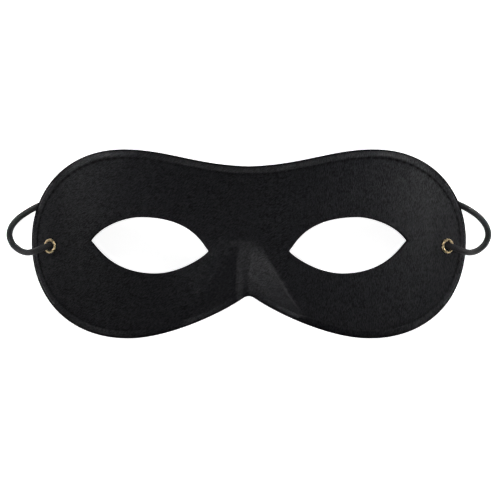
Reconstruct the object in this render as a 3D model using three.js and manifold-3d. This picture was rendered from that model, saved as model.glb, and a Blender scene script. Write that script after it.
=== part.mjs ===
// Domino mask of stiffened fabric, lying on its back with its front up, in millimetres.
// X runs from temple to temple, Y from the cheeks to the brow, and Z up from the floor.
// The origin is on the floor, under the middle of the mask.

import * as THREE from 'three';
import { mergeVertices } from 'three/addons/utils/BufferGeometryUtils.js';
import Module from 'manifold-3d';

const wasm = await Module();
wasm.setup();

// Half of the outline as seen from the front, from the dip of the brow over one temple to the notch
// above the nose: curve knots, each with the handles that lead into it and out of it
const HALF_OUTLINE = [
  { at: [0, 33.0], out: [21.1, 0] },
  { into: [-18.1, 0], at: [53.2, 40.1], out: [27.6, 0] },
  { into: [0, 17.8], at: [92.5, 1.7], out: [0, -24.8] },
  { into: [25.5, 0], at: [51.4, -40.1], out: [-15.5, 0] },
  { into: [13.3, -8.6], at: [2.0, -22.75], out: [-0.8, 0.5] },
  { into: [0.7, 0], at: [0, -22.25] },
];

// One eye opening as seen from the front, from its inner corner over the top and back below
const EYE_OUTLINE = [
  { at: [17.2, -2.9], out: [2.0, 1.0] },
  { into: [-23.5, 0], at: [46.3, 11.3], out: [5.7, 0] },
  { into: [-4.9, 7.1], at: [67.75, 1.3], out: [-1.9, -1.0] },
  { into: [19.9, 0], at: [40.0, -12.5], out: [-11.4, 0] },
  { into: [0.5, -1.5], at: [17.2, -2.9] },
];

// Shell: its thickness, and an elliptical wrap to the temples that eases a little at brow and cheek
const THICKNESS = 2.0;
const CROWN_HEIGHT = 33.9;
const WRAP_HALF_AXIS = 105;
const WRAP_DEPTH = 62.7;
const WRAP_EASE = 0.14;
const WRAP_EASE_REACH = 40;

// Nose: a ridge that rises from between the eyes to the notch, with a flank on either side
const NOSE_START_Y = 3;
const NOSE_RIDGE_SLOPE = 0.44;
const NOSE_ROOT_HALF_WIDTH = 6.5;
const NOSE_FLARE = 0.5;
const NOSE_ROOT_SOFTNESS = 1.5;
const NOSE_FOOT_SOFTNESS = 0.2;
const NOSE_RIDGE_ROUNDING = 1.5;

// Eyelets, with heights measured from the front surface of the mask
const EYELET_X = 84.5;
const EYELET_Y = -0.9;
const CLEARANCE = 0.3;
const BORE_RADIUS = 1.95;
const BARREL_RADIUS = 2.3;
const FRONT_FLANGE_RADIUS = 3.2;
const FRONT_FLANGE_HEIGHT = 0.8;
const BACK_FLANGE_RADIUS = 2.9;
const BACK_FLANGE_HEIGHT = 0.5;
const FLANGE_ROUNDING = 0.3;

// Elastic cord and the knots that stop it behind the eyelets
const CORD_DIAMETER = 2.5;
const KNOT_RADIUS = 3.1;
const KNOT_HEIGHT = 5.4;

// Centre line of the cord from the left knot to the middle, where it lies behind the brow: up
// through the eyelet, over the edge, round on the floor and back under the edge
const LEFT_CORD_ROUTE = [
  [-82.63, -0.88, 6.67],
  [-83.97, -0.9, 7.79],
  [-85.42, -0.95, 9.08],
  [-87.2, -1.5, 10.2],
  [-89.5, -2.4, 10.4],
  [-92.0, -3.3, 8.9],
  [-94.4, -3.7, 6.3],
  [-96.7, -3.2, 3.7],
  [-98.8, -2.0, 1.95],
  [-100.9, 0.1, 1.3],
  [-102.2, 3.6, 1.3],
  [-101.4, 7.2, 1.3],
  [-98.6, 10.7, 1.3],
  [-94.6, 13.6, 1.3],
  [-90.0, 16.1, 1.3],
  [-80.0, 20.2, 1.3],
  [-64.0, 24.0, 1.3],
  [-42.0, 25.8, 1.3],
  [-20.0, 25.2, 1.3],
];
const CORD_MIDDLE = [0, 24.6, 1.3];

// Fineness of the faceted solids
const SHEET_COLUMNS = 54;
const SHEET_ROWS = 24;
const CURVE_STEPS = 14;
const BORE_SIDES = 24;
const EYELET_SIDES = 24;
const KNOT_SIDES = 20;
const CORD_SIDES = 8;
const CORD_STEPS = 80;

const fabric = new THREE.MeshStandardMaterial({ color: '#1b1b1e', roughness: 0.85, metalness: 0 });
const elastic = new THREE.MeshStandardMaterial({ color: '#242426', roughness: 0.7, metalness: 0 });
const brass = new THREE.MeshStandardMaterial({ color: '#a8946c', roughness: 0.35, metalness: 1 });

// Zero below and a straight rise above, with the corner rounded over about the softness
function softRamp(value, softness) {
  return 0.5 * (value + Math.hypot(value, softness));
}

// Height of the nose above the wrapped sheet
function noseHeight(x, y) {
  const ridge = softRamp(NOSE_RIDGE_SLOPE * (NOSE_START_Y - y), NOSE_ROOT_SOFTNESS);
  const flare = softRamp(NOSE_FLARE * (NOSE_START_Y - y), NOSE_ROOT_SOFTNESS);
  const across = Math.hypot(x, NOSE_RIDGE_ROUNDING) - NOSE_RIDGE_ROUNDING;
  return ridge * softRamp(1 - across / (NOSE_ROOT_HALF_WIDTH + flare), NOSE_FOOT_SOFTNESS);
}

// Height of the front surface above the floor
function frontHeight(x, y) {
  const wrap = WRAP_DEPTH * (1 - Math.sqrt(1 - (x / WRAP_HALF_AXIS) ** 2));
  const ease = 1 - WRAP_EASE * (y / WRAP_EASE_REACH) ** 2;
  return CROWN_HEIGHT - wrap * ease + noseHeight(x, y);
}

function frontNormal(x, y) {
  const step = 0.01;
  const riseX = frontHeight(x + step, y) - frontHeight(x - step, y);
  const riseY = frontHeight(x, y + step) - frontHeight(x, y - step);
  return new THREE.Vector3(-riseX, -riseY, 2 * step).normalize();
}

function toManifold(geometry) {
  const bare = geometry.clone();
  bare.deleteAttribute('normal');
  bare.deleteAttribute('uv');
  const merged = mergeVertices(bare);
  return new wasm.Manifold(new wasm.Mesh({
    numProp: 3,
    vertProperties: new Float32Array(merged.attributes.position.array),
    triVerts: new Uint32Array(merged.index.array),
  }));
}

function toGeometry(solid) {
  const mesh = solid.getMesh();
  const geometry = new THREE.BufferGeometry();
  geometry.setAttribute('position', new THREE.BufferAttribute(mesh.vertProperties, 3));
  geometry.setIndex(new THREE.BufferAttribute(mesh.triVerts, 1));
  geometry.computeVertexNormals();
  return geometry;
}

function pointsThrough(knots) {
  const path = new THREE.Path();
  path.moveTo(...knots[0].at);
  for (let i = 1; i < knots.length; i += 1) {
    const from = knots[i - 1];
    const to = knots[i];
    path.bezierCurveTo(
      from.at[0] + from.out[0], from.at[1] + from.out[1],
      to.at[0] + to.into[0], to.at[1] + to.into[1],
      ...to.at,
    );
  }
  return path.getPoints(CURVE_STEPS);
}

function mirrored(points) {
  return points.map((point) => new THREE.Vector2(-point.x, point.y)).reverse();
}

// Upright prism of the outline with its two eye openings
function outlinePrism() {
  const half = pointsThrough(HALF_OUTLINE);
  const eye = pointsThrough(EYE_OUTLINE).slice(1);
  const shape = new THREE.Shape([...half, ...mirrored(half).slice(1, -1)].reverse());
  shape.holes.push(new THREE.Path(eye), new THREE.Path(mirrored(eye)));
  const prism = new THREE.ExtrudeGeometry(shape, { depth: 3 * CROWN_HEIGHT, bevelEnabled: false });
  return toManifold(prism.translate(0, 0, -CROWN_HEIGHT));
}

// Sheet over the whole outline that follows the front surface, thick along Z
function wrappedSheet() {
  const widths = HALF_OUTLINE.map((knot) => knot.at[0]);
  const heights = HALF_OUTLINE.map((knot) => Math.abs(knot.at[1]));
  const width = 2 * (Math.max(...widths) + THICKNESS);
  const height = 2 * (Math.max(...heights) + THICKNESS);
  const sheet = new THREE.BoxGeometry(width, height, THICKNESS, SHEET_COLUMNS, SHEET_ROWS, 1);
  sheet.translate(0, 0, -THICKNESS / 2);
  const places = sheet.attributes.position;
  for (let i = 0; i < places.count; i += 1) {
    places.setZ(i, places.getZ(i) + frontHeight(places.getX(i), places.getY(i)));
  }
  return toManifold(sheet);
}

// Lays each point that is some depth under the front surface along the normal instead of along Z
function squareToSurface(solid) {
  const geometry = toGeometry(solid);
  const places = geometry.attributes.position;
  for (let i = 0; i < places.count; i += 1) {
    const x = places.getX(i);
    const y = places.getY(i);
    const front = frontHeight(x, y);
    const inward = frontNormal(x, y).multiplyScalar(places.getZ(i) - front);
    places.setXYZ(i, x + inward.x, y + inward.y, front + inward.z);
  }
  return toManifold(geometry);
}

// Group at an eyelet's centre on the front surface, with its Z along the surface's normal
function eyeletGroup(side) {
  const group = new THREE.Group();
  group.position.set(side * EYELET_X, EYELET_Y, frontHeight(side * EYELET_X, EYELET_Y));
  group.quaternion.setFromUnitVectors(
    new THREE.Vector3(0, 0, 1),
    frontNormal(side * EYELET_X, EYELET_Y),
  );
  group.updateMatrix();
  return group;
}

function eyeletBore(side) {
  const radius = BARREL_RADIUS + CLEARANCE;
  const bore = new THREE.CylinderGeometry(radius, radius, 6 * THICKNESS, BORE_SIDES);
  bore.rotateX(Math.PI / 2).applyMatrix4(eyeletGroup(side).matrix);
  return toManifold(bore);
}

// What lies below the floor is cut off, which leaves a small flat spot under each temple
function belowFloor() {
  const slab = new THREE.BoxGeometry(4 * HALF_OUTLINE[2].at[0], 4 * HALF_OUTLINE[1].at[1], CROWN_HEIGHT);
  return toManifold(slab.translate(0, 0, -CROWN_HEIGHT / 2));
}

function maskBody() {
  const shell = squareToSurface(wrappedSheet().intersect(outlinePrism()));
  const bored = shell.subtract(eyeletBore(-1)).subtract(eyeletBore(1));
  const mesh = new THREE.Mesh(toGeometry(bored.subtract(belowFloor())), fabric);
  mesh.name = 'mask_body';
  return mesh;
}

// Turned solid from a profile of radius and height, with its axis along Z
function turned(profile, sides) {
  const points = profile.map(([radius, height]) => new THREE.Vector2(radius, height));
  return new THREE.LatheGeometry(points, sides).rotateX(Math.PI / 2);
}

function eyelet(name) {
  const frontBottom = CLEARANCE;
  const frontTop = frontBottom + FRONT_FLANGE_HEIGHT;
  const backTop = -THICKNESS - CLEARANCE;
  const backBottom = backTop - BACK_FLANGE_HEIGHT;
  const profile = [
    [BORE_RADIUS, backBottom + FLANGE_ROUNDING],
    [BORE_RADIUS + FLANGE_ROUNDING, backBottom],
    [BACK_FLANGE_RADIUS - FLANGE_ROUNDING, backBottom],
    [BACK_FLANGE_RADIUS, backBottom + FLANGE_ROUNDING],
    [BACK_FLANGE_RADIUS, backTop],
    [BARREL_RADIUS, backTop],
    [BARREL_RADIUS, frontBottom],
    [FRONT_FLANGE_RADIUS, frontBottom],
    [FRONT_FLANGE_RADIUS, frontTop - FLANGE_ROUNDING],
    [FRONT_FLANGE_RADIUS - FLANGE_ROUNDING, frontTop],
    [BORE_RADIUS + FLANGE_ROUNDING, frontTop],
    [BORE_RADIUS, frontTop - FLANGE_ROUNDING],
    [BORE_RADIUS, backBottom + FLANGE_ROUNDING],
  ];
  const mesh = new THREE.Mesh(turned(profile, EYELET_SIDES), brass);
  mesh.name = name;
  return mesh;
}

function cordKnot(name) {
  const top = -THICKNESS - CLEARANCE - BACK_FLANGE_HEIGHT - CLEARANCE;
  const shoulder = KNOT_HEIGHT / 5;
  const profile = [
    [0, top - KNOT_HEIGHT],
    [0.6 * KNOT_RADIUS, top - KNOT_HEIGHT],
    [0.9 * KNOT_RADIUS, top - KNOT_HEIGHT + shoulder],
    [KNOT_RADIUS, top - KNOT_HEIGHT / 2],
    [0.9 * KNOT_RADIUS, top - shoulder],
    [0.6 * KNOT_RADIUS, top],
    [0, top],
  ];
  const mesh = new THREE.Mesh(turned(profile, KNOT_SIDES), elastic);
  mesh.name = name;
  return mesh;
}

function elasticCord() {
  const left = LEFT_CORD_ROUTE.map((place) => new THREE.Vector3(...place));
  const right = left.map((place) => new THREE.Vector3(-place.x, place.y, place.z)).reverse();
  const route = new THREE.CatmullRomCurve3([...left, new THREE.Vector3(...CORD_MIDDLE), ...right]);
  const section = new THREE.Shape();
  for (let i = 0; i < CORD_SIDES; i += 1) {
    const turn = (2 * Math.PI * i) / CORD_SIDES;
    const corner = [Math.cos(turn) * CORD_DIAMETER / 2, Math.sin(turn) * CORD_DIAMETER / 2];
    if (i === 0) section.moveTo(...corner);
    else section.lineTo(...corner);
  }
  const mesh = new THREE.Mesh(
    new THREE.ExtrudeGeometry(section, { extrudePath: route, steps: CORD_STEPS, curveSegments: 1 }),
    elastic,
  );
  mesh.name = 'elastic_cord';
  return mesh;
}

const mask = new THREE.Group();
mask.add(maskBody(), elasticCord());
for (const [side, word] of [[-1, 'left'], [1, 'right']]) {
  const group = eyeletGroup(side);
  group.add(eyelet(`${word}_eyelet`), cordKnot(`${word}_cord_knot`));
  mask.add(group);
}

export default mask;
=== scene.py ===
# %% [markdown]
# A domino mask, piece by piece
# The real thing is a half mask cut from stiffened felt, pressed over a form that gives it a nose and
# a bend round the face, with its edge turned and stitched, an eyelet at each temple and a round
# elastic. Here it lies on its back on a pale floor, front up, and the camera looks straight down.
# Every size below is in millimetres, and MM turns it into Blender's metres.

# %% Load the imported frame
import math

import bmesh
import bpy
import numpy as np
from mathutils import Matrix, Vector
from mathutils.geometry import interpolate_bezier
from mathutils.kdtree import KDTree


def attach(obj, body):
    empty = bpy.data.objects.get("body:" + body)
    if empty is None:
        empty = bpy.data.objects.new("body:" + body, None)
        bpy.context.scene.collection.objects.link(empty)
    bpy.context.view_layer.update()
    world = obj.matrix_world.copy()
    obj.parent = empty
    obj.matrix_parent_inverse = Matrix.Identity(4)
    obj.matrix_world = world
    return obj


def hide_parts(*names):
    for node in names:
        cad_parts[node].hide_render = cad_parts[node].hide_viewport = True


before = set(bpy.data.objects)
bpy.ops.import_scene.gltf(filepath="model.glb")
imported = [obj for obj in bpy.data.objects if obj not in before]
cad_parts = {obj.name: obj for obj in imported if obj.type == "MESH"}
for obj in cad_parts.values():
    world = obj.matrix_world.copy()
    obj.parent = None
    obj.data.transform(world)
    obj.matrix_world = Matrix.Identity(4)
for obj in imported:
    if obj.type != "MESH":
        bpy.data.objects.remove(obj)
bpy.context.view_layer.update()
MM = 0.001
print("frame nodes:", sorted(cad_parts))

# %% [markdown]
# The camera
# The photograph shows the mask square on from the front, with hardly any perspective. An
# orthographic camera would have none at all, so this one stands far off with a long lens instead.
# How much it sees is worked out from the size of one pixel of the photograph at the mask, so that
# a length in the picture is the same length on the mask.

# %% Camera straight above the mask
PHOTO_PIXELS = 500
MM_PER_PIXEL = 0.427
VIEW_MIDDLE = (0.5, -2.6)
CAMERA_HEIGHT = 6000
SENSOR_WIDTH = 36

lens = bpy.data.cameras.new("photo_camera")
lens.sensor_width = SENSOR_WIDTH
lens.lens = SENSOR_WIDTH * CAMERA_HEIGHT / (PHOTO_PIXELS * MM_PER_PIXEL)
lens.clip_end = 100
camera = bpy.data.objects.new("photo_camera", lens)
camera.location = (VIEW_MIDDLE[0] * MM, VIEW_MIDDLE[1] * MM, CAMERA_HEIGHT * MM)
bpy.context.scene.collection.objects.link(camera)
bpy.context.scene.camera = camera
print("lens of", round(lens.lens), "mm sees", PHOTO_PIXELS * MM_PER_PIXEL, "mm across")

# %% [markdown]
# Lines cut into even steps
# The outline of the mask and the route of its cord are both drawn as Bezier curves, as in the
# editor. A curve is then cut into even steps, because even steps make even faces.

# %% Curves and their steps
STEPS_PER_CURVE = 60


def bezier_line(knots):
    """Points along the curves through the knots, each a place and its two handles."""
    line = []
    for (start, _, lead_out), (end, lead_in, _) in zip(knots, knots[1:]):
        start = Vector(start)
        end = Vector(end)
        curve = [start, start + Vector(lead_out), end + Vector(lead_in), end]
        line += interpolate_bezier(*curve, STEPS_PER_CURVE)[:-1]
    return [*line, Vector(knots[-1][0])]


def line_lengths(line):
    """How far along the line each of its points lies."""
    return np.concatenate([[0], np.cumsum(np.linalg.norm(np.diff(line, axis=0), axis=1))])


def even_steps(line, step):
    """The same line, cut into equal steps of about that length."""
    line = np.array([tuple(point) for point in line])
    lengths = line_lengths(line)
    places = np.linspace(0, lengths[-1], max(2, round(lengths[-1] / step)) + 1)
    return np.stack([np.interp(places, lengths, line[:, k]) for k in range(line.shape[1])], axis=1)


print("each curve is drawn with", STEPS_PER_CURVE, "points")

# %% [markdown]
# The cord's route
# The elastic is knotted behind the left eyelet, comes up through it, leans over the mask's edge,
# settles on the floor in a loop and slips back under the edge. Behind the brow it crosses to the
# other side and does the same there, where its loop lies a little higher. A simulation could drop
# it, but hardly into these very loops, so its points are given one by one, and the curve through
# them takes its handles from each point's neighbours.

# %% Route of the elastic cord
CORD_DIAMETER = 2.5
LEFT_CORD_ROUTE = [
    (-82.63, -0.88, 6.67),
    (-83.97, -0.9, 7.79),
    (-85.42, -0.95, 9.08),
    (-87.2, -1.5, 10.2),
    (-89.5, -2.4, 10.4),
    (-92.0, -3.3, 8.9),
    (-94.4, -3.7, 6.3),
    (-96.7, -3.2, 3.7),
    (-98.8, -2.0, 1.95),
    (-100.9, 0.1, 1.3),
    (-102.2, 3.6, 1.3),
    (-101.4, 7.2, 1.3),
    (-98.6, 10.7, 1.3),
    (-94.6, 13.6, 1.3),
    (-90.0, 16.1, 1.3),
    (-80.0, 20.2, 1.3),
    (-64.0, 24.0, 1.3),
    (-42.0, 25.8, 1.3),
    (-20.0, 25.2, 1.3),
]
CORD_MIDDLE = (0, 24.6, 1.3)
CORD_STEP = 0.6
RIGHT_LOOP_RISE = 0.65
RIGHT_LOOP_MIDDLE = 13.5
RIGHT_LOOP_REACH = 7


def smooth_route(places):
    """Knots through unevenly spaced places, where each handle heeds both neighbours' distances."""
    places = [Vector(place) for place in places]
    spans = [math.sqrt((end - start).length) for start, end in zip(places, places[1:])]
    slopes = [(end - start) / span for start, end, span in zip(places, places[1:], spans)]
    knots = [(places[0], Vector(), slopes[0] * spans[0] / 3)]
    for i in range(1, len(places) - 1):
        lean = spans[i - 1] + spans[i]
        slope = (slopes[i - 1] * spans[i] + slopes[i] * spans[i - 1]) / lean
        knots.append((places[i], -slope * spans[i - 1] / 3, slope * spans[i] / 3))
    return [*knots, (places[-1], -slopes[-1] * spans[-1] / 3, Vector())]


def right_place(x, y, z):
    """The same place on the other side, a little higher in the loop."""
    return (-x, y + RIGHT_LOOP_RISE * math.exp(-(((y - RIGHT_LOOP_MIDDLE) / RIGHT_LOOP_REACH) ** 2)), z)


right_cord_route = [right_place(*place) for place in reversed(LEFT_CORD_ROUTE)]
cord_knots = smooth_route([*LEFT_CORD_ROUTE, CORD_MIDDLE, *right_cord_route])
cord_line = even_steps(bezier_line(cord_knots), CORD_STEP)

# %% [markdown]
# Materials
# Each finish is a small tree of nodes on top of one Principled shader. The helper adds a node, sets
# its inputs and links those that are given as sockets. Patterns are sized by real lengths: a noise
# of scale 1 has features a metre across, so a feature of 1 mm needs a scale of 1000. A wave turns
# by 20 radians in a metre, or by 10 along each axis if it is diagonal, so its bands need a scale of
# their own. The Mix node has other inputs for numbers than for colours, all of the same names, so
# they are called by their place in it.

# %% Helpers for materials
WAVE_RADIANS = 20
MIX_FACTOR = 0
NUMBER_A = 2
NUMBER_B = 3
COLOUR_A = 6
COLOUR_B = 7
COLOUR_RESULT = 2


def linear(colour):
    """Linear RGBA from an sRGB hex colour."""
    channels = [int(colour[i : i + 2], 16) / 255 for i in (1, 3, 5)]
    return (*[c / 12.92 if c <= 0.04045 else ((c + 0.055) / 1.055) ** 2.4 for c in channels], 1)


def add_node(tree, kind, inputs=None, **settings):
    """A node with its settings, and its inputs given as values or as sockets to link."""
    node = tree.nodes.new("ShaderNode" + kind)
    for name, value in settings.items():
        setattr(node, name, value)
    for name, value in (inputs or {}).items():
        if isinstance(value, bpy.types.NodeSocket):
            tree.links.new(value, node.inputs[name])
        else:
            node.inputs[name].default_value = value
    return node


def new_material(name):
    """An empty material and its node tree."""
    material = bpy.data.materials.new(name)
    material.use_nodes = True
    material.node_tree.nodes.clear()
    return material, material.node_tree


def features(size):
    """The scale that gives a texture features of that many millimetres."""
    return 1 / (size * MM)


def bands(size):
    """The scale that repeats a wave texture's bands every that many millimetres."""
    return 2 * math.pi / WAVE_RADIANS * features(size)


print("features of 1 mm need a scale of", round(features(1)), "and bands of 1 mm", round(bands(1)))

# %% [markdown]
# Black felt
# The mask is a pressed wool felt with a short nap. Felt has no weave: fine fibres lie about with a
# faint mottle, and brushing lays them one way on the left and the nose and another on the right.
# The nap could be grown as hair, but from here it is only a grain, so noise is enough: round for
# the nap and stretched for the fibres, and drawn coarser than real wool so that it shows. Black
# felt reflects about a hundredth of the light, so its specular level is far under the default,
# which would grey it, and varies from fibre to fibre, so that the lit sides glitter. Pressing lays
# the fibres flat, so their gleam is narrower than on soft felt. Shade is painted into the seam and
# along the edges: an attribute of the mesh mixes a near-black colour in there and lowers the gloss.

# %% Nap of the felt
CLUMP_SIZE = 2.6
CLUMP_SHARE = 0.3
NAP_SIZE = 0.28
NAP_SHARE = 1.0
FIBRE_WIDTH = 0.28
FIBRE_LENGTH = 4.5
FIBRE_SHARE = 1.5
LEFT_LAY = 0.6
RIGHT_LAY = 1.45
LAY_CHANGE = (14, 34)


def felt_height(tree, place):
    """Height of clumps, nap and fibres, which lie one way on the left and another on the right."""
    height = 0
    for size, share in ((CLUMP_SIZE, CLUMP_SHARE), (NAP_SIZE, NAP_SHARE)):
        noise = add_node(tree, "TexNoise", {"Vector": place, "Scale": features(size), "Detail": 1})
        height = add_node(
            tree, "Math", {0: noise.outputs["Fac"], 1: share, 2: height}, operation="MULTIPLY_ADD"
        ).outputs[0]
    lays = []
    for turn in (LEFT_LAY, RIGHT_LAY):
        laid = add_node(
            tree,
            "Mapping",
            {"Vector": place, "Rotation": (0, 0, turn), "Scale": (FIBRE_LENGTH, 1, FIBRE_LENGTH)},
            vector_type="TEXTURE",
        )
        fibres = add_node(
            tree, "TexNoise", {"Vector": laid.outputs[0], "Scale": features(FIBRE_WIDTH), "Detail": 1}
        )
        lays.append(fibres.outputs["Fac"])
    across = add_node(tree, "SeparateXYZ", {0: place}).outputs["X"]
    left_end, right_end = (end * MM for end in LAY_CHANGE)
    rightward = add_node(
        tree, "MapRange", {"Value": across, "From Min": left_end, "From Max": right_end}
    )
    lay = add_node(
        tree,
        "Mix",
        {MIX_FACTOR: rightward.outputs[0], NUMBER_A: lays[0], NUMBER_B: lays[1]},
        data_type="FLOAT",
    )
    return add_node(
        tree, "Math", {0: lay.outputs[0], 1: FIBRE_SHARE, 2: height}, operation="MULTIPLY_ADD"
    ).outputs[0]


print("felt with a nap of", NAP_SIZE, "mm and fibres of", round(FIBRE_WIDTH * FIBRE_LENGTH, 1), "mm")

# %% Felt of the mask
LOW_FIBRES = 1.1
HIGH_FIBRES = 1.7
LOW_GLOSS = 0.045
HIGH_GLOSS = 0.195
PAINTED_SHADE_NAME = "painted_seam_and_edge_shade"


def felt_material(name, dark, light, painted_shade_colour):
    """Napped felt between two colours, and the near-black colour of its painted shade at seams and
    edges.
    """
    material, tree = new_material(name)
    height = felt_height(tree, add_node(tree, "TexCoord").outputs["Object"])
    mottle = add_node(
        tree, "MapRange", {"Value": height, "From Min": LOW_FIBRES, "From Max": HIGH_FIBRES}
    )
    colour = add_node(
        tree,
        "Mix",
        {MIX_FACTOR: mottle.outputs[0], COLOUR_A: linear(dark), COLOUR_B: linear(light)},
        data_type="RGBA",
    )
    # Painted shade: the mesh attribute mixes in the near-black colour and takes the gloss away.
    shade = add_node(tree, "Attribute", attribute_type="GEOMETRY", attribute_name=PAINTED_SHADE_NAME)
    shaded = add_node(
        tree,
        "Mix",
        {
            MIX_FACTOR: shade.outputs["Fac"],
            COLOUR_A: colour.outputs[COLOUR_RESULT],
            COLOUR_B: linear(painted_shade_colour),
        },
        data_type="RGBA",
    )
    fibre_gloss = add_node(
        tree, "MapRange", {"Value": mottle.outputs[0], "To Min": LOW_GLOSS, "To Max": HIGH_GLOSS}
    )
    unshaded_share = add_node(tree, "Math", {0: 1, 1: shade.outputs["Fac"]}, operation="SUBTRACT")
    gloss = add_node(
        tree, "Math", {0: fibre_gloss.outputs[0], 1: unshaded_share.outputs[0]}, operation="MULTIPLY"
    )
    bump = add_node(tree, "Bump", {"Height": height, "Strength": 0.6, "Distance": 0.09 * MM})
    shader = add_node(
        tree,
        "BsdfPrincipled",
        {
            "Base Color": shaded.outputs[COLOUR_RESULT],
            "Roughness": 0.34,
            "Specular IOR Level": gloss.outputs[0],
            "Sheen Weight": 0.01,
            "Sheen Roughness": 0.45,
            "Sheen Tint": linear("#e8ecff"),
            "Normal": bump.outputs[0],
        },
    )
    add_node(tree, "OutputMaterial", {"Surface": shader.outputs[0]})
    return material


black_felt = felt_material("black_wool_felt", "#0f0f11", "#1e1e21", "#050506")
print("felt of", len(black_felt.node_tree.nodes), "nodes, with a gloss up to", HIGH_GLOSS)

# %% [markdown]
# Two colours and a bump
# A weave, a braid and a tarnished metal show in the same two ways: a pattern leads from one colour
# to another, and a height makes small bumps. Each could have nodes of its own for that, but one
# helper serves them all. Black yarn is matt, so its specular level is under half the default.

# %% Helper for finishes
YARN_GLOSS = 0.2


def finish(tree, pattern, colours, height, shine, depth, strength):
    """Colours that follow a pattern, bumps that follow a height, and the shader they go into."""
    low, high = colours
    colour = add_node(
        tree,
        "Mix",
        {MIX_FACTOR: pattern, COLOUR_A: linear(low), COLOUR_B: linear(high)},
        data_type="RGBA",
    )
    bump = add_node(tree, "Bump", {"Height": height, "Strength": strength, "Distance": depth * MM})
    inputs = {"Base Color": colour.outputs[COLOUR_RESULT], "Normal": bump.outputs[0], **shine}
    shader = add_node(tree, "BsdfPrincipled", inputs)
    add_node(tree, "OutputMaterial", {"Surface": shader.outputs[0]})


print("yarns have a specular level of", YARN_GLOSS)

# %% [markdown]
# Lining
# Behind the felt a mask has a lining against the skin, here a plain woven cotton, dyed black. The
# weave could be modelled thread by thread, but it hardly shows under the mask, and its threads
# cross square to each other, so two waves along the UV map make it, at about twice the real
# spacing so that it shows.

# %% Cotton lining
LINING_THREAD = 0.7


def lining_material():
    """Plain woven cotton, with its threads along the two ways of the UV map."""
    material, tree = new_material("black_cotton_lining")
    cloth = add_node(tree, "TexCoord").outputs["UV"]
    warp, weft = [
        add_node(
            tree,
            "TexWave",
            {"Vector": cloth, "Scale": bands(LINING_THREAD), "Distortion": 0.6, "Detail": 1},
            bands_direction=direction,
        ).outputs["Fac"]
        for direction in ("X", "Y")
    ]
    weave = add_node(tree, "Math", {0: weft, 1: warp}, operation="MULTIPLY").outputs[0]
    shine = {"Roughness": 0.85, "Specular IOR Level": YARN_GLOSS}
    finish(tree, weave, ("#121213", "#232325"), weave, shine, depth=0.15, strength=0.6)
    return material


cotton_lining = lining_material()
print("lining with threads", LINING_THREAD, "mm apart")

# %% [markdown]
# Thread
# The hem is sewn with a spun polyester thread. It is twisted tight, so it gleams a little more than
# felt, and it lies deep in its stitch, which keeps it dark. Its plies are too fine to model, so a
# slanting wave draws them.

# %% Sewing thread
THREAD_TWIST = 0.5


def thread_material():
    """Twisted thread, its plies slanting across the UV map."""
    material, tree = new_material("black_polyester_thread")
    cloth = add_node(tree, "TexCoord").outputs["UV"]
    plies = add_node(
        tree,
        "TexWave",
        {"Vector": cloth, "Scale": bands(THREAD_TWIST)},
        bands_direction="DIAGONAL",
    ).outputs["Fac"]
    shine = {"Roughness": 0.55, "Specular IOR Level": YARN_GLOSS}
    finish(tree, plies, ("#08080a", "#131315"), plies, shine, depth=0.08, strength=0.6)
    return material


polyester_thread = thread_material()
print("thread with a ply every", 2 * THREAD_TWIST, "mm along it")

# %% [markdown]
# Braided elastic
# Round elastic is a rubber core in a braid of textured polyester yarns. The yarns could be swept
# round the core one by one, but from here they are only a grain. Yarns of both directions cross at
# a slant, so two slanted waves on the UV map give their little scales, and the polyester is
# lighter than felt and has a soft shine.

# %% Braid of the elastic
BRAID_YARN = 0.62
BRAID_SLANT = 0.9


def braid_material():
    """Yarns that cross at a slant, along the UV map of the cord."""
    material, tree = new_material("black_braided_elastic")
    cloth = add_node(tree, "TexCoord").outputs["UV"]
    yarns = []
    for slant in (-BRAID_SLANT, BRAID_SLANT):
        turned = add_node(tree, "Mapping", {"Vector": cloth, "Rotation": (0, 0, slant)})
        wave = add_node(
            tree,
            "TexWave",
            {"Vector": turned.outputs[0], "Scale": bands(BRAID_YARN), "Distortion": 0.4},
        )
        yarns.append(wave.outputs["Fac"])
    braid = add_node(tree, "Math", {0: yarns[1], 1: yarns[0]}, operation="MAXIMUM").outputs[0]
    shine = {"Roughness": 0.6, "Specular IOR Level": YARN_GLOSS}
    finish(tree, braid, ("#0a0a0b", "#2b2b2d"), braid, shine, depth=0.12, strength=0.7)
    return material


braided_elastic = braid_material()
print("braid with yarns", BRAID_YARN, "mm apart")

# %% [markdown]
# Antique brass
# Eyelets are drawn and rolled from thin brass, and these have the soft, slightly browned shine of
# an antique finish. A plain metal would look new, so small patches of tarnish vary the colour and
# the roughness, and faint dents from the setting tool break up the highlight. The bore is brass
# too, but in shade, so a near-black copy of the brass is painted shade inside it.

# %% Brass of the eyelets
TARNISH_SIZE = 0.8
DENT_SIZE = 0.5


def brass_material(name, colours):
    """Rolled brass with a little tarnish."""
    material, tree = new_material(name)
    place = add_node(tree, "TexCoord").outputs["Object"]
    tarnish, dents = [
        add_node(
            tree, "TexNoise", {"Vector": place, "Scale": features(size), "Detail": detail}
        ).outputs["Fac"]
        for size, detail in ((TARNISH_SIZE, 4), (DENT_SIZE, 1))
    ]
    roughness = add_node(tree, "MapRange", {"Value": tarnish, "To Min": 0.19, "To Max": 0.36})
    shine = {"Metallic": 1, "Roughness": roughness.outputs[0]}
    finish(tree, tarnish, colours, dents, shine, depth=0.05, strength=0.15)
    return material


antique_brass = brass_material("antique_brass", ("#ffebc0", "#cdae79"))
# A near-black copy of the brass: painted shade for the inside of the bore.
painted_shade_bore_brass = brass_material("painted_shade_bore_brass", ("#1c1610", "#0e0b08"))
print("materials:", sorted(material.name for material in bpy.data.materials))

# %% [markdown]
# Grids whose corners are put in place
# A tube, a hem and the web of felt round an eye are all one thing to a modeller: a grid of cells
# whose corners are moved to where they belong. bmesh makes the grid, and a small rule says where
# each corner goes. A grid could also be shaped by hand in the editor, but a rule can be changed
# later. Its columns and rows give the piece its UV map, so that braid and thread follow it.

# %% Helper for grids
MERGE_DISTANCE = 0.005


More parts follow.
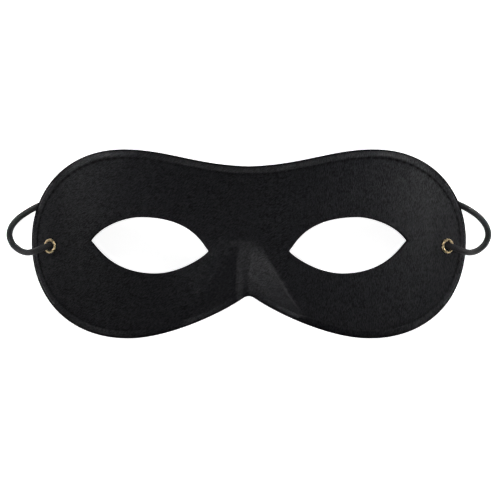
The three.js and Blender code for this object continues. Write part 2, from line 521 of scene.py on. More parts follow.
def placed_grid(bm, columns, rows, place, cloth_size=(1, 1)):
    """A grid of cells with each corner moved to place(column, row), and its UV map of that size."""
    made = bmesh.ops.create_grid(bm, x_segments=columns, y_segments=rows, size=0.5)
    uv_map = bm.loops.layers.uv.verify()
    for vertex in made["verts"]:
        across = vertex.co.x + 0.5
        along = vertex.co.y + 0.5
        for loop in vertex.link_loops:
            loop[uv_map].uv = (across * cloth_size[0] * MM, along * cloth_size[1] * MM)
        vertex.co = place(round(across * columns), round(along * rows))
    return made["verts"]


print("corners within", MERGE_DISTANCE, "mm become one")

# %% [markdown]
# The elastic cord
# A cord is a tube along its route. Blender's curve object would give one with a bevel depth, but a
# mesh tube carries its own UV map, which the braid needs. So the grid is rolled up: each of its
# rows is a ring square to the route, and smaller rings at both ends close it with a dome.

# %% Helper for tubes
DOME_ROWS = 3


def tube(bm, line, radius, sides, dome_rows=DOME_ROWS):
    """A round tube along a line, its ends closed by domes, with a UV map of girth and length."""
    line = [Vector(point) for point in line]
    last = len(line) - 1
    ways = [(line[min(i + 1, last)] - line[max(i - 1, 0)]).normalized() for i in range(last + 1)]
    turns = [math.pi / 2 * k / dome_rows for k in range(dome_rows)]

    def dome(end, way, out):
        """Rings over one end of the line, from the tip down."""
        reach = way * out * radius
        return [(end + reach * math.cos(turn), way, radius * math.sin(turn)) for turn in turns]

    body = [(point, way, radius) for point, way in zip(line, ways)]
    rings = [*dome(line[0], ways[0], -1), *body, *reversed(dome(line[last], ways[last], 1))]
    side = ways[0].orthogonal().normalized()
    frames = []
    for point, way, reach in rings:
        side = (side - way * side.dot(way)).normalized()
        frames.append((point, side * reach, way.cross(side) * reach))

    def place(column, row):
        point, side, up = frames[row]
        turn = 2 * math.pi * column / sides
        return point + side * math.cos(turn) + up * math.sin(turn)

    length = line_lengths(np.array([tuple(point) for point, _, _ in rings]))[-1]
    corners = placed_grid(bm, sides, len(rings) - 1, place, (2 * math.pi * radius, length))
    bmesh.ops.remove_doubles(bm, verts=corners, dist=MERGE_DISTANCE)


print("a tube's end is a dome of", DOME_ROWS, "rings")

# %% Elastic cord
# A braid that isn't stretched is a little thicker than the size it is sold by.
CORD_SIDES = 20
BRAID_SWELL = 1.08


def keep_above_floor(bm):
    """Lifts to the floor each corner that is under it."""
    for corner in bm.verts:
        corner.co.z = max(corner.co.z, 0)


def make_piece(name, bm, finish_slot, *materials):
    """An object from a bmesh in millimetres, smooth shaded, which rides with the mask."""
    bmesh.ops.scale(bm, vec=(MM, MM, MM), verts=bm.verts)
    mesh = bpy.data.meshes.new(name)
    bm.to_mesh(mesh)
    bm.free()
    mesh.polygons.foreach_set("use_smooth", [True] * len(mesh.polygons))
    for material in materials:
        mesh.materials.append(material)
    piece = bpy.data.objects.new(name, mesh)
    bpy.context.scene.collection.objects.link(piece)
    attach(piece, "root")
    print(name, "has", sum(len(face.vertices) - 2 for face in mesh.polygons), "triangles")
    return piece


bm = bmesh.new()
tube(bm, cord_line, CORD_DIAMETER / 2 * BRAID_SWELL, CORD_SIDES)
keep_above_floor(bm)
cord = make_piece("round_elastic", bm, "elastic_cord", braided_elastic)
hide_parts("elastic_cord")

# %% [markdown]
# The surface that everything follows
# The mask is bent round the face like a piece of a barrel, a little flatter at the top and the
# bottom, and its nose is pressed out of it. It could be sculpted, but as one height above the floor
# for each place in the plan, the hem, the stitches and the eyelets can find it too. Across the nose
# the height runs along straight pieces with rounded corners: up a steep left wall to a brink,
# gently over a fold, into a crease and down the broad right wall. The back takes blunter corners,
# because cloth behind a fold can't follow it.

# %% Nose
NOSE_START_Y = 1.0
NOSE_RIDGE_SLOPE = 0.43
NOSE_ROOT_SOFTNESS = 0.6
NOSE_HALF_WIDTH = 4.6
NOSE_FLARE = 0.56
LEFT_FOOT_OUT = 4.0
BRINK_X = -5.2
BRINK_REACH = 8
BRINK_START = 0.1
FOLD_END_X = -2.8
FOLD_DROP = 0.13
CREASE_END_X = 0.1
CREASE_RISE = 0.09
NOSE_SOFTNESS = (2.2, 0.7, 0.3, 0.4, 1.5)
BACK_BLUNTNESS = 4
VALLEY_DEPTH = 0.2
VALLEY_WIDTH = 3.2


def soft_ramp(value, softness):
    """Zero below and a straight rise above, with the corner rounded over."""
    return 0.5 * (value + np.hypot(value, softness))


def nose_height(x, y, bluntness):
    """Height of the pressed nose: a steep left wall, a fold, a crease and a lit right wall."""
    fall = NOSE_START_Y - y
    ridge = soft_ramp(NOSE_RIDGE_SLOPE * fall, NOSE_ROOT_SOFTNESS)
    right_foot = NOSE_HALF_WIDTH + soft_ramp(NOSE_FLARE * fall, NOSE_ROOT_SOFTNESS)
    left_foot = -right_foot - LEFT_FOOT_OUT
    spread = np.sqrt(np.clip(fall / BRINK_REACH, BRINK_START, 1))
    corners = (left_foot, BRINK_X * spread, FOLD_END_X * spread, CREASE_END_X, right_foot)
    shares = (0, 1, 1 - FOLD_DROP, 1 - FOLD_DROP + CREASE_RISE, 0)
    last = len(corners) - 1
    slope = 0
    height = 0
    for k, corner in enumerate(corners):
        next_slope = (shares[k + 1] - shares[k]) / (corners[k + 1] - corner) if k < last else 0
        softness = NOSE_SOFTNESS[k] * (bluntness if 0 < k < last else 1)
        height = height + (next_slope - slope) * soft_ramp(x - corner, softness)
        slope = next_slope
    valley = np.exp(-(((x - right_foot) / VALLEY_WIDTH) ** 2))
    return ridge * height - VALLEY_DEPTH * valley * np.clip(fall / BRINK_REACH, 0, 1)


print("the nose stands out by", round(float(nose_height(0, -20, 1)), 1), "mm near its tip")

# %% Surface of the mask
THICKNESS = 2.0
CROWN_HEIGHT = 33.9
WRAP_HALF_AXIS = 105
WRAP_DEPTH = 62.7
WRAP_EASE = 0.14
WRAP_EASE_REACH = 40


def front_height(x, y, bluntness=1):
    """Height of the pressed front above the floor."""
    wrap = WRAP_DEPTH * (1 - np.sqrt(1 - (x / WRAP_HALF_AXIS) ** 2))
    ease = 1 - WRAP_EASE * (y / WRAP_EASE_REACH) ** 2
    return CROWN_HEIGHT - wrap * ease + nose_height(x, y, bluntness)


def surface_normal(x, y, bluntness=1):
    """Way out of the front, square to it."""
    step = 0.01
    ahead_x = front_height(x + step, y, bluntness)
    ahead_y = front_height(x, y + step, bluntness)
    rise_x = (ahead_x - front_height(x - step, y, bluntness)) / (2 * step)
    rise_y = (ahead_y - front_height(x, y - step, bluntness)) / (2 * step)
    normal = np.stack([-rise_x, -rise_y, np.ones_like(rise_x)], axis=-1)
    return normal / np.linalg.norm(normal, axis=-1, keepdims=True)


def on_mask(x, y, height, bluntness=1):
    """The place that far above the front, square to it."""
    front = np.stack([x, y, front_height(x, y, bluntness)], axis=-1)
    return front + surface_normal(x, y, bluntness) * np.asarray(height)[..., None]


print("the front is", round(float(front_height(80, 0)), 1), "mm off the floor at a temple")

# %% [markdown]
# The stopper knots
# A cord that goes into an eyelet from the front is kept there by a knot behind it. A double
# overhand stopper has two turns wound back round its own strand. The strand goes down the middle,
# comes out sideways, winds back up and ends in a short tail, melted round so that it can't fray. It
# doesn't show in the photograph, where a bead would do, but from behind each turn does, so the tube
# follows the turns. It is drawn along Z under an eyelet at the origin, and then put in place.

# %% Place of an eyelet
EYELET_X = 84.5
EYELET_Y = -0.9


def eyelet_frame(side):
    """Turns a shape with its axis along Z into its place in the left or the right eyelet."""
    centre = on_mask(np.array(side * EYELET_X), np.array(EYELET_Y), 0.0)
    axis = Vector(surface_normal(np.array(side * EYELET_X), np.array(EYELET_Y)))
    return Matrix.Translation(centre) @ axis.to_track_quat("Z", "Y").to_matrix().to_4x4()


eyelet_lean = eyelet_frame(1).col[2].xyz.angle(Vector((0, 0, 1)))
print("the eyelets lean out by", round(math.degrees(eyelet_lean)), "degrees")

# %% Stopper knots
KNOT_STRAND = 2.0
KNOT_SIDES = 14
KNOT_STEP = 0.35
STRAND_TOP = -2.6
STRAND_FOOT = -6.0
STRAND_POINTS = 5
KNOT_BEND = (0.9, -0.3, -7.0)
WINDING_FOOT = -6.85
WINDING_RISE = 2.75
WINDING_RADIUS = 2.02
WINDING_TURNS = 2.3
WINDING_POINTS = 40


def knot_line():
    """Down the middle, out to the side and back up in turns round the strand."""
    strand = [(0, 0, height) for height in np.linspace(STRAND_TOP, STRAND_FOOT, STRAND_POINTS)]
    winding = []
    for step in np.linspace(0, 1, WINDING_POINTS):
        turn = 2 * math.pi * WINDING_TURNS * step
        height = WINDING_FOOT + WINDING_RISE * step
        winding.append((WINDING_RADIUS * math.cos(turn), WINDING_RADIUS * math.sin(turn), height))
    return even_steps(bezier_line(smooth_route([*strand, KNOT_BEND, *winding])), KNOT_STEP)


for side, name in ((-1, "left_cord_knot"), (1, "right_cord_knot")):
    bm = bmesh.new()
    tube(bm, knot_line(), KNOT_STRAND / 2, KNOT_SIDES)
    bmesh.ops.transform(bm, matrix=eyelet_frame(side), verts=bm.verts)
    knot = make_piece(name.replace("cord", "elastic"), bm, "elastic_cord", braided_elastic)
    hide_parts(name)

tuple(eyelet_frame(-1).translation * MM)

# %% [markdown]
# The eyelets
# An eyelet is drawn as a tube with a rim, pushed through the felt and rolled over behind. It could
# be built from a tube and two rings, but it is round all over, so its section is drawn once, from
# the bore over the front rim to the rolled back, and bmesh spins it into a ring.

# %% Eyelets
EYELET_SECTION = [
    (1.95, -2.5),
    (1.95, 0.2),
    (2.0, 0.62),
    (2.15, 0.9),
    (2.4, 1.06),
    (2.65, 1.08),
    (2.9, 0.98),
    (3.1, 0.76),
    (3.2, 0.48),
    (3.18, 0.3),
    (3.05, 0.22),
    (2.3, 0.16),
    (2.25, -0.2),
    (2.25, -2.1),
    (2.6, -2.2),
    (2.85, -2.35),
    (2.9, -2.55),
    (2.75, -2.75),
    (2.4, -2.82),
    (2.1, -2.75),
]
EYELET_STEPS = 64
BORE_RADIUS = 2.05
BORE_TOP = 0.6

for side, name in ((-1, "left_eyelet"), (1, "right_eyelet")):
    bm = bmesh.new()
    corners = [bm.verts.new((radius, 0, height)) for radius, height in EYELET_SECTION]
    section = [bm.edges.new(pair) for pair in zip(corners, corners[1:] + corners[:1])]
    bmesh.ops.subdivide_edges(bm, edges=section, cuts=1, smooth=0.6)
    bmesh.ops.spin(
        bm,
        geom=bm.verts[:] + bm.edges[:],
        cent=(0, 0, 0),
        axis=(0, 0, 1),
        angle=2 * math.pi,
        steps=EYELET_STEPS,
        use_merge=True,
    )
    bmesh.ops.remove_doubles(bm, verts=bm.verts, dist=MERGE_DISTANCE)
    bmesh.ops.recalc_face_normals(bm, faces=bm.faces)
    # Faces inside the bore take the copy of the brass with painted shade.
    for face in bm.faces:
        middle = face.calc_center_median()
        face.material_index = int(middle.xy.length < BORE_RADIUS and middle.z < BORE_TOP)
    bmesh.ops.transform(bm, matrix=eyelet_frame(side), verts=bm.verts)
    eyelet = make_piece("rolled_" + name, bm, "eyelet_brass", antique_brass, painted_shade_bore_brass)
    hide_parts(name)

# %% [markdown]
# The mask, first as a flat pattern
# The real mask starts as a flat piece of felt, so this one does too. Half of it is enough, because
# the other half is its mirror image. It could be cut from a plane, but a cut leaves faces of every
# shape along the edge. So two grids fill the half: a hem that runs along the edge in close rows,
# where the turned edge and the stitches need them, and a web from the eye opening to the hem and
# the middle line.

# %% Outline and eye opening
HALF_OUTLINE = [
    ((0, 33.0), (0, 0), (21.1, 0)),
    ((53.2, 40.1), (-18.1, 0), (27.6, 0)),
    ((92.5, 1.7), (0, 17.8), (0, -24.8)),
    ((51.4, -40.1), (25.5, 0), (-15.5, 0)),
    ((2.0, -22.75), (13.3, -8.6), (-0.8, 0.5)),
    ((0, -22.25), (0.7, 0), (0, 0)),
]
EYE_OUTLINE = [
    ((17.2, -2.9), (0, 0), (2.0, 1.0)),
    ((46.3, 11.3), (-23.5, 0), (5.7, 0)),
    ((67.75, 1.3), (-4.9, 7.1), (-1.9, -1.0)),
    ((40.0, -12.5), (19.9, 0), (-11.4, 0)),
    ((17.2, -2.9), (0.5, -1.5), (0, 0)),
]
EDGE_STEP = 0.85


def left_of(line, closed):
    """Unit vectors square to a plan line, on its left."""
    if closed:
        ways = np.roll(line, -1, axis=0) - np.roll(line, 1, axis=0)
    else:
        ways = np.gradient(line, axis=0)
    square = np.stack([-ways[:, 1], ways[:, 0]], axis=1)
    return square / np.linalg.norm(square, axis=1, keepdims=True)


def foreshortening(line, ways):
    """Plan length of one millimetre of the pressed surface, along those ways."""
    step = 0.5
    ahead = line + ways * step
    rise = (front_height(*ahead.T) - front_height(*line.T)) / step
    return 1 / np.hypot(1, rise)


edge = even_steps(bezier_line(HALF_OUTLINE), EDGE_STEP)
inward = -left_of(edge, closed=False)
inward[0] = (0, -1)
inward[-1] = (0, 1)
edge_squeeze = foreshortening(edge, inward)
print("outline of", round(2 * line_lengths(edge)[-1]), "mm round, in", 2 * (len(edge) - 1), "steps")

# %% Inner and outer edge of the web
HEM_ROWS = (0, 0.95, 1.5, 2.1, 2.6, 2.95, 3.2, 3.4, 3.6, 3.8, 4.0, 4.25, 4.6, 5.2)
EYE_RIM_ROWS = (0, 0.7, 1.5)
EYE_MIDDLE = np.array([43, 0])
EYE_HALF_SIZE = np.array([25, 12])
LOBE_HALF_SIZE = np.array([43, 36])

hem_inner = edge + inward * (HEM_ROWS[-1] * edge_squeeze)[:, None]
middle_line = even_steps([hem_inner[-1], hem_inner[0]], EDGE_STEP)[1:-1]
web_outer = np.concatenate([hem_inner, middle_line])


def round_angles(line, middle, half_size):
    """Angles of the points about a middle, as if the shape were a circle."""
    from_middle = (line - middle) / half_size
    return np.arctan2(from_middle[:, 1], from_middle[:, 0])


eye_curve = np.array([tuple(point) for point in bezier_line(EYE_OUTLINE)])
eye_angles = round_angles(eye_curve, EYE_MIDDLE, EYE_HALF_SIZE)
web_angles = round_angles(web_outer, EYE_MIDDLE, LOBE_HALF_SIZE)
eye_edge = np.stack(
    [np.interp(web_angles, eye_angles, eye_curve[:, k], period=2 * math.pi) for k in (0, 1)], axis=1
)
for eye_corner, _, _ in (EYE_OUTLINE[0], EYE_OUTLINE[2]):
    nearest = np.argmin(np.linalg.norm(eye_edge - eye_corner, axis=1))
    eye_edge[nearest] = eye_corner
eye_outward = left_of(eye_edge, closed=True)
rim_outer = eye_edge + eye_outward * EYE_RIM_ROWS[-1]
print("web with", len(web_outer), "columns round the eye")

# %% Hem and web as grids
WEB_ROWS = 24
WEB_CROWDING = 1.35
NOSE_REACH = (21, 6)
FINE_CELL = 0.6


def hem_place(column, row):
    """Corner of the hem, on a row that far inside the edge."""
    return (*(edge[column] + inward[column] * HEM_ROWS[row] * edge_squeeze[column]), 0)


def web_place(column, row):
    """Corner of the web, from the eye's rim out to the hem and the middle line."""
    column %= len(web_outer)
    if row < len(EYE_RIM_ROWS):
        return (*(eye_edge[column] + eye_outward[column] * EYE_RIM_ROWS[row]), 0)
    share = 1 - (1 - (row - len(EYE_RIM_ROWS) + 1) / WEB_ROWS) ** WEB_CROWDING
    return (*(rim_outer[column] * (1 - share) + web_outer[column] * share), 0)


sheet = bmesh.new()
placed_grid(sheet, len(edge) - 1, len(HEM_ROWS) - 1, hem_place)
placed_grid(sheet, len(web_outer), len(EYE_RIM_ROWS) - 1 + WEB_ROWS, web_place)
bmesh.ops.remove_doubles(sheet, verts=sheet.verts, dist=MERGE_DISTANCE)
reach_x, reach_y = NOSE_REACH
at_nose = {corner for corner in sheet.verts if corner.co.x < reach_x and corner.co.y < reach_y}
nose_edges = [
    side for side in sheet.edges if set(side.verts) <= at_nose and side.calc_length() > FINE_CELL
]
bmesh.ops.subdivide_edges(sheet, edges=nose_edges, cuts=2, use_grid_fill=True)
print("half pattern has", len(sheet.faces), "faces")

# %% [markdown]
# Punched, mirrored and given its thickness
# A punch makes a round hole for the eyelet. On the flat pattern it is narrower than it is high,
# because the temple slopes away there and the camera's view of the pattern is the plan. Mirror
# joins the other half on, solidify gives the felt its thickness, and a bevel rounds the turned
# edge widely and the cut edge of the eyes only a little.

# %% Punched hole
PUNCH_RADIUS = 2.6

temple_squeeze = surface_normal(np.array(EYELET_X), np.array(EYELET_Y))[2]


def from_eyelet(place):
    """Distance from the eyelet's middle, along the surface."""
    return math.hypot((abs(place.x) - EYELET_X) / temple_squeeze, place.y - EYELET_Y)


punched = {face for face in sheet.faces if from_eyelet(face.calc_center_median()) < PUNCH_RADIUS}
rim = {corner for face in punched for corner in face.verts if set(corner.link_faces) - punched}
bmesh.ops.delete(sheet, geom=list(punched), context="FACES")
for corner in rim:
    stretch = PUNCH_RADIUS / from_eyelet(corner.co)
    corner.co.x = EYELET_X + (corner.co.x - EYELET_X) * stretch
    corner.co.y = EYELET_Y + (corner.co.y - EYELET_Y) * stretch
print("punched out", len(punched), "faces")

# %% Slab of felt
geometry = sheet.verts[:] + sheet.edges[:] + sheet.faces[:]
bmesh.ops.mirror(sheet, geom=geometry, axis="X", merge_dist=MERGE_DISTANCE)
bmesh.ops.recalc_face_normals(sheet, faces=sheet.faces)
if sheet.faces[:][0].normal.z < 0:
    bmesh.ops.reverse_faces(sheet, faces=sheet.faces)
bmesh.ops.solidify(sheet, geom=sheet.faces[:], thickness=THICKNESS)
heights = [corner.co.z for corner in sheet.verts]
bmesh.ops.translate(sheet, vec=(0, 0, -max(heights)), verts=sheet.verts)
bmesh.ops.recalc_face_normals(sheet, faces=sheet.faces)
print("slab from", round(min(heights) - max(heights), 2), "to 0 mm")

# %% Rounded edges
HEM_BEVEL = (0.85, 4)
EYE_BEVEL = (0.35, 2)
CORNER_ANGLE = 1
PUNCH_MARGIN = 0.5
EYE_MARGIN = 1.5


def at_eye(place):
    """Whether a place is in or at an eye opening."""
    return bool((np.abs((abs(place.x), place.y) - EYE_MIDDLE) < EYE_HALF_SIZE + EYE_MARGIN).all())


hem_edges = []
eye_edges = []
for side in sheet.edges:
    if not side.is_manifold or side.calc_face_angle() <= CORNER_ANGLE:
        continue
    middle = (side.verts[0].co + side.verts[1].co) / 2
    if at_eye(middle):
        eye_edges.append(side)
    elif from_eyelet(middle) >= PUNCH_RADIUS + PUNCH_MARGIN:
        hem_edges.append(side)
for sides, (width, segments) in ((hem_edges, HEM_BEVEL), (eye_edges, EYE_BEVEL)):
    sides = [side for side in sides if side.is_valid]
    bmesh.ops.bevel(
        sheet, geom=sides, offset=width, affect="EDGES", segments=segments, profile=0.5, material=-1
    )
print("rounded", len(hem_edges), "edges of the hem and", len(eye_edges), "of the eyes")

# %% [markdown]
# Pressed into shape
# Pressing bends the flat felt to the wearer's face. A lattice would bend it only roughly, so every
# corner of the slab moves onto the curved surface and then its own depth square to it, which keeps
# the felt's thickness. At the edge the depth goes straight down instead, which keeps the outline
# of the pattern. Small reliefs go on top: the turned edge slants down, the stitches pull a groove
# along it, a soft welt runs round the left foot of the nose, and the back shows the turned hem over
# the lining. A painted shade for the seam and the edges is kept as an attribute for the felt's
# material.

# %% How far inside the edge each corner is
FINE_STEP = 0.2

fine_edge = even_steps(bezier_line(HALF_OUTLINE), FINE_STEP)
fine_inward = -left_of(fine_edge, closed=False)
fine_squeeze = foreshortening(fine_edge, fine_inward)
fine_lengths = line_lengths(fine_edge)
edge_tree = KDTree(len(fine_edge))
for index, point in enumerate(fine_edge):
    edge_tree.insert((*point, 0), index)
edge_tree.balance()

x, y, depth = np.array([tuple(corner.co) for corner in sheet.verts]).T
found = [edge_tree.find((*place, 0)) for place in zip(np.abs(x), y)]
nearest = np.array([index for _, index, _ in found])
inside = np.array([distance for _, _, distance in found]) / fine_squeeze[nearest]
print(len(inside), "corners, up to", round(inside.max(), 1), "mm inside the edge")

# %% Reliefs of the hem
STITCH_INSET = 3.6
STITCH_PITCH = 3.4
HEM_PAD = 0.3
PAD_FOOT = 4.8
SLANT_WIDTH = 3.2
SLANT_SLOPE = 0.42
SLANT_SOFTNESS = 0.4
GROOVE_DEPTH = 0.3
GROOVE_WIDTH = 0.5
GROOVE_LEAST = 0.35
BACK_HEM_WIDTH = 5.2
BACK_HEM_STEP = 0.3
BACK_HEM_SLOPE = 0.6


def ramp(value, start, end):
    """Share of the way from start to end, held between 0 and 1."""
    return np.clip((value - start) / (end - start), 0, 1)


def at_least(low, share):
    """The share, squeezed to run from low to 1."""
    return low + (1 - low) * share


def hem_reliefs(inside, along):
    """Rise of the front and of the back, drop of the slanting edge and depth of the seam."""
    stitch = 0.5 + 0.5 * np.cos(2 * math.pi * along / STITCH_PITCH)
    slant = SLANT_SLOPE * soft_ramp(SLANT_WIDTH - inside, SLANT_SOFTNESS)
    pad = HEM_PAD * (0.5 + 0.5 * np.cos(math.pi * ramp(inside, SLANT_WIDTH, PAD_FOOT)))
    seam = np.exp(-(((inside - STITCH_INSET) / GROOVE_WIDTH) ** 2)) * at_least(GROOVE_LEAST, stitch)
    turned = BACK_HEM_STEP * np.clip((BACK_HEM_WIDTH - inside) / BACK_HEM_SLOPE, 0, 1)
    return pad - GROOVE_DEPTH * seam, turned - GROOVE_DEPTH * seam, slant, seam


front_relief, back_relief, slant, seam = hem_reliefs(inside, fine_lengths[nearest])
print("the edge slants down by", round(slant.max(), 2), "mm")

# %% Corners of the front and the back
WELT_ROUTE = [(-4.5, -0.9), (-8.5, -1.3), (-12, -3.2), (-15.2, -7.5), (-17.8, -12.5), (-20.6, -18.5)]
WELT_STEP = 0.5
WELT_RISE = 0.65
WELT_WIDTH = 1.5
TEMPLE_REACH = (74, 90)
SLANT_FADE = 0.8
EDGE_WALL_REACH = 4
LEAST_UPRIGHT = 0.6


def distance_to(line, x, y):
    """Plan distance from each place to the nearest point of a line."""
    return np.hypot(x[:, None] - line[:, 0], y[:, None] - line[:, 1]).min(axis=1)


welt_line = even_steps(bezier_line(smooth_route([(*place, 0) for place in WELT_ROUTE])), WELT_STEP)
front_relief += WELT_RISE * np.exp(-((distance_to(welt_line, x, y) / WELT_WIDTH) ** 2))
temple = ramp(np.abs(x), *TEMPLE_REACH)
front_side = on_mask(x, y, front_relief)
front_side[:, 2] -= slant * (1 - SLANT_FADE * temple)
back_side = on_mask(x, y, -THICKNESS - back_relief, BACK_BLUNTNESS)
at_edge = np.clip(1 - inside / EDGE_WALL_REACH, 0, 1)[:, None]
upright = np.clip(surface_normal(x, y, BACK_BLUNTNESS)[:, 2], LEAST_UPRIGHT, 1)
below_edge = np.stack([x, y, front_side[:, 2] - THICKNESS / upright], axis=1)
back_side = back_side * (1 - at_edge) + below_edge * at_edge
front_side[:, :2] = front_side[:, :2] * (1 - at_edge) + np.stack([x, y], axis=1) * at_edge
print("the front is up to", round(front_side[:, 2].max(), 1), "mm high")

# %% Pressed corners and their painted shade
EDGE_SWELL = 0.14
SWELL_REACH = 2
SWELL_FULL_X = 8
SEAM_LEAST = 0.3
SEAM_FADE_X = (35, 60)
SEAM_FADE_Y = (-25, 0)
CUT_TOP = 0.12
CUT_FOOT = 0.95
EDGE_SHADE = 0.6
EDGE_SHADE_REACH = (1.3, 0.5)

back_share = -depth / THICKNESS
pressed = front_side + (back_side - front_side) * back_share[:, None]
outward = -fine_inward[nearest] * np.stack([np.sign(x), np.ones_like(x)], axis=1)
swell = EDGE_SWELL * (1 + temple) * ramp(inside, SWELL_REACH, 0) * ramp(np.abs(x), 0, SWELL_FULL_X)
pressed[:, :2] += outward * swell[:, None]
pressed[:, 2] = np.maximum(pressed[:, 2], 0)
# Painted shade on top of the real groove: along the seam, weaker in the middle and low down, on the
# bevel and wall of the cut edges, and in a thin line along the outer edge, darkest at the temples.
seam *= at_least(SEAM_LEAST, ramp(y, *SEAM_FADE_Y) * ramp(np.abs(x), *SEAM_FADE_X))
cut = ramp(back_share, 0, CUT_TOP) * (back_share < CUT_FOOT)
edge_shade = at_least(EDGE_SHADE, temple) * ramp(inside, *EDGE_SHADE_REACH)
shade = np.maximum.reduce([seam, cut, edge_shade])
print("pressed to", np.ptp(pressed, axis=0).round(1), "mm")

# %% [markdown]
# One mesh, two cloths
# The back inside the turned hem is lining, and everything else is felt. The lining could be a sheet
# of its own, but it is glued flat to the felt, so a second material on the same faces is enough.
# The UV map has the bend rolled out flat, so that the threads keep their spacing.

# %% Pressed mask
ROLL_STEP = 0.25
BROW_Y = 20.0
LINED_SHARE = 0.8

roll_places = np.arange(-WRAP_HALF_AXIS + 1, WRAP_HALF_AXIS - 1, ROLL_STEP)
roll_profile = np.stack([roll_places, front_height(roll_places, BROW_Y)], axis=1)
rolled_out = line_lengths(roll_profile)
uv_map = sheet.loops.layers.uv.verify()
lining_faces = 0
sheet.verts.index_update()
for face in sheet.faces:
    numbers = [corner.index for corner in face.verts]
    lined = back_share[numbers].min() > LINED_SHARE and inside[numbers].mean() > BACK_HEM_WIDTH
    face.material_index = int(lined)
    lining_faces += lined
    for loop in face.loops:
        flat_x = np.interp(loop.vert.co.x, roll_places, rolled_out)
        loop[uv_map].uv = (flat_x * MM, loop.vert.co.y * MM)
# The painted shade goes into a mesh attribute that the felt's material reads.
shade_layer = sheet.verts.layers.float.new(PAINTED_SHADE_NAME)
for corner, place, depth_of_shade in zip(sheet.verts, pressed, shade):
    corner.co = place
    corner[shade_layer] = depth_of_shade
bmesh.ops.recalc_face_normals(sheet, faces=sheet.faces)
mask = make_piece("pressed_mask", sheet, "mask_fabric", black_felt, cotton_lining)
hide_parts("mask_body")
print(lining_faces, "faces of lining")

# %% [markdown]
# Stitches
# The hem is sewn by machine, so the same stitch shows on both sides. A bump could draw stitches,
# but real ones catch the light. Each is a short piece of thread that dives into the felt at both
# ends. There are hundreds, so each has only a few faces.

# %% Hem stitches
STITCH_LENGTH = 2.3
THREAD_RADIUS = 0.24
THREAD_SIDES = 6
STITCH_BENDS = ((0, -0.42), (0.25, -0.12), (0.5, -0.06), (0.75, -0.12), (1, -0.42))
STITCH_ROWS = (("front_stitches", -0.1, 1), ("back_stitches", -THICKNESS - 0.1, -1))


def stitch_row(height, way_up):
    """Stitches of one half along the stitch line, at that height over the front."""
    plan = fine_edge + fine_inward * (STITCH_INSET * fine_squeeze)[:, None]
    lengths = line_lengths(on_mask(*plan.T, height))
    count = round(lengths[-1] / STITCH_PITCH)
    pitch = lengths[-1] / count
    row = []
    for number in range(count):
        start = (number + 0.5) * pitch - STITCH_LENGTH / 2
        places = [start + share * STITCH_LENGTH for share, _ in STITCH_BENDS]
        x = np.interp(places, lengths, plan[:, 0])
        y = np.interp(places, lengths, plan[:, 1])
        rises = np.array([rise for _, rise in STITCH_BENDS])
        row.append((x, y, height + way_up * rises))
    return row


stitch_count = 0
for name, height, way_up in STITCH_ROWS:
    bm = bmesh.new()
    for x, y, heights in stitch_row(height, way_up):
        for mirror in (-1, 1):
            tube(bm, on_mask(mirror * x, y, heights), THREAD_RADIUS, THREAD_SIDES, dome_rows=1)
            stitch_count += 1
    bmesh.ops.recalc_face_normals(bm, faces=bm.faces)
    keep_above_floor(bm)
    make_piece(name, bm, "mask_fabric", polyester_thread)
print(stitch_count, "stitches on both sides")

# %% [markdown]
# Floor and light
# The photograph has a white sweep that is lit until it is blank. The floor here glows by itself, as
# a sheet over a light box does, and the lamps add the rest. Black felt shows its shape only where
# it mirrors a lamp: a slope of so many degrees mirrors a lamp at 90 degrees less twice that. A
# broad lamp above gives the flat parts their tone, a lamp beyond the brow lights the slanting hem
# there, one on the left fills that side, and small lamps with a narrow spread each pick out one
# part: a temple, a corner of the hem, a wall of the nose or a loop of the cord. The room beyond is
# dark, so that the felt mirrors the floor and the lamps alone.

# %% Floor
FLOOR_SIZE = 4000
FLOOR_DROP = 0.05
FLOOR_GLOW = 0.9

floor_material, tree = new_material("white_paper_sweep")
paper = add_node(
    tree,
    "BsdfPrincipled",
    {
        "Base Color": linear("#f4f4f4"),
        "Roughness": 0.9,
        "Specular IOR Level": 0,
        "Emission Color": linear("#ffffff"),
        "Emission Strength": FLOOR_GLOW,
    },
)
add_node(tree, "OutputMaterial", {"Surface": paper.outputs[0]})
bm = bmesh.new()
bmesh.ops.create_grid(bm, x_segments=1, y_segments=1, size=FLOOR_SIZE / 2 * MM)
bmesh.ops.translate(bm, vec=(0, 0, -FLOOR_DROP * MM), verts=bm.verts)
floor_mesh = bpy.data.meshes.new("floor")
bm.to_mesh(floor_mesh)
bm.free()
floor_mesh.materials.append(floor_material)
floor = bpy.data.objects.new("floor", floor_mesh)
bpy.context.scene.collection.objects.link(floor)
print("floor of", FLOOR_SIZE, "mm")

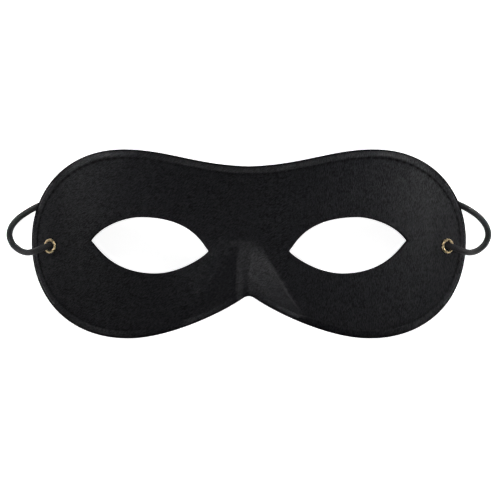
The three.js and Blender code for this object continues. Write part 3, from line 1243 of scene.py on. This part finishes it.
# %% Lamps and surroundings
# Each lamp has its aim, its bearing, elevation and distance from there, size, spread and watts.
LAMPS = {
    "top_soft": ((0, 0, 0), (0, 90, 1500), 2500, 180, 5.4),
    "brow_light": ((0, 0, 20), (90, 48, 1200), 500, 180, 3.1),
    "key_right": ((80, 35, 12), (-10, 27, 1200), 300, 10, 0.072),
    "fill_left": ((0, 0, 20), (205, 35, 1200), 300, 180, 2.1),
    "lobe_left": ((-78, 35, 14), (190, 30, 1200), 300, 10, 0.0167),
    "hem_left": ((-57, 41, 24), (140, 26, 450), 40, 6, 0.0022),
    "hem_far_left": ((-72, 37, 16), (153, 11, 450), 40, 6, 0.0015),
    "hem_right": ((57, 41, 24), (40, 26, 450), 40, 6, 0.0015),
    "hem_far_right": ((72, 37, 16), (27, 11, 450), 40, 6, 0.0015),
    "cord_left": ((-101, 8, 2), (115, 30, 450), 20, 5, 0.0029),
    "cord_right": ((101, 8, 2), (65, 30, 450), 20, 5, 0.0025),
    "nose_light": ((7, -9, 38), (35, 36, 318), 90, 20, 0.0078),
    "nose_left": ((-16, -8, 32), (160, 58, 300), 20, 6, 0.00018),
}
SURROUNDING_LIGHT = 0.0


def lamp_place(aim, bearing, elevation, distance):
    """A place that far from the aim, its bearing counted from +X towards +Y."""
    level = distance * math.cos(math.radians(elevation))
    east = level * math.cos(math.radians(bearing))
    north = level * math.sin(math.radians(bearing))
    return Vector(aim) + Vector((east, north, distance * math.sin(math.radians(elevation))))


for name, (aim, direction, size, spread, watts) in LAMPS.items():
    lamp_data = bpy.data.lights.new(name, "AREA")
    lamp_data.size = size * MM
    lamp_data.spread = math.radians(spread)
    lamp_data.energy = watts
    lamp = bpy.data.objects.new(name, lamp_data)
    place = lamp_place(aim, *direction)
    lamp.location = place * MM
    lamp.rotation_euler = (place - Vector(aim)).to_track_quat("Z", "Y").to_euler()
    bpy.context.scene.collection.objects.link(lamp)

world = bpy.data.worlds.new("white_studio")
world.use_nodes = True
surroundings = world.node_tree.nodes["Background"].inputs
surroundings["Color"].default_value = linear("#ffffff")
surroundings["Strength"].default_value = SURROUNDING_LIGHT
bpy.context.scene.world = world
bpy.context.scene.view_settings.view_transform = "Standard"
print("lamps:", *LAMPS)
